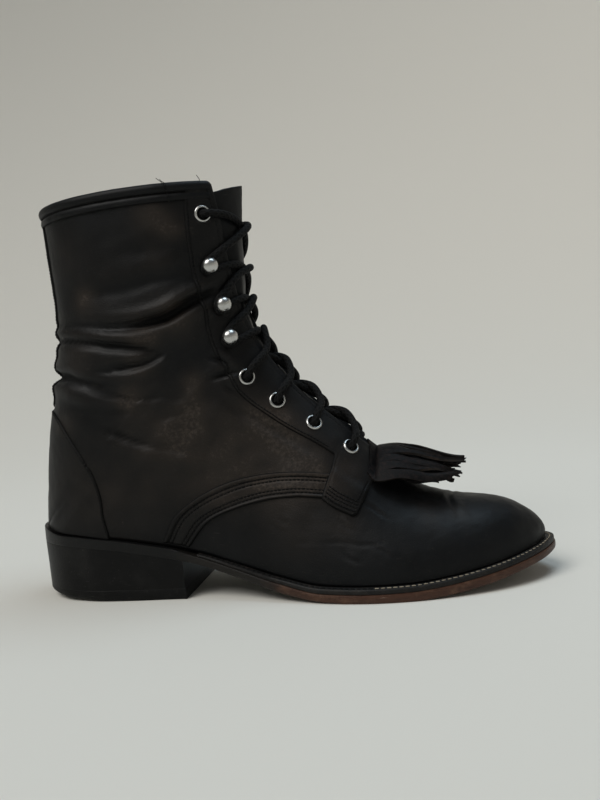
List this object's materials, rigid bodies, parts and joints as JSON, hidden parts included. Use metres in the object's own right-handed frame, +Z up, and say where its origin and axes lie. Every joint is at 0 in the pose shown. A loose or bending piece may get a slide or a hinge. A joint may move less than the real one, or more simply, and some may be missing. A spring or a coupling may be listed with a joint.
{
  "type": "lace-up western boot",
  "caption": "Right-foot lace-up western boot in worn black leather: welted leather sole, low stacked heel, kiltie fringe over the vamp, nickel eyelets and ball hooks, laced and empty.",
  "frame": {"origin": "on the floor, under the middle of the boot's length and width", "axes": "+X towards the toe, +Y towards the inner side of the foot, +Z up from the floor the sole stands on"},
  "size_m": [0.2832, 0.0985, 0.2182],
  "materials": {
    "outsole_leather": "reddish brown edge, scuffed, blackened at the waist",
    "welt_leather": "dark, with pale lock stitches",
    "heel_black": "burnished satin black",
    "lift_rubber": "matte, worn",
    "insole_leather": "matte, dark tan",
    "upper_leather": "worn satin black with creases and brown rubbed patches",
    "overlay_leather": "satin black, brown along rubbed edges",
    "kiltie_leather": "black with brown cut edges",
    "nickel": "polished nickel, slightly worn",
    "lace_cord": "round black braided cord"
  },
  "bodies": {
    "root": {"outsole": "outsole_leather", "welt": "welt_leather", "heel": "heel_black", "top_lift": "lift_rubber", "insole": "insole_leather", "upper": "upper_leather", "tongue": "upper_leather", "counter": "upper_leather", "backstay": "upper_leather", "quarter_band_outer": "overlay_leather", "quarter_band_inner": "overlay_leather", "eyestay_outer": "overlay_leather", "eyestay_inner": "overlay_leather", "collar_binding": "upper_leather", "kiltie": "kiltie_leather", "eyelet_outer_1": "nickel", "eyelet_inner_1": "nickel", "eyelet_outer_2": "nickel", "eyelet_inner_2": "nickel", "eyelet_outer_3": "nickel", "eyelet_inner_3": "nickel", "eyelet_outer_4": "nickel", "eyelet_inner_4": "nickel", "hook_outer_5": "nickel", "hook_inner_5": "nickel", "hook_outer_6": "nickel", "hook_inner_6": "nickel", "hook_outer_7": "nickel", "hook_inner_7": "nickel", "eyelet_outer_8": "nickel", "eyelet_inner_8": "nickel", "laces": "lace_cord"}
  },
  "joints": []
}
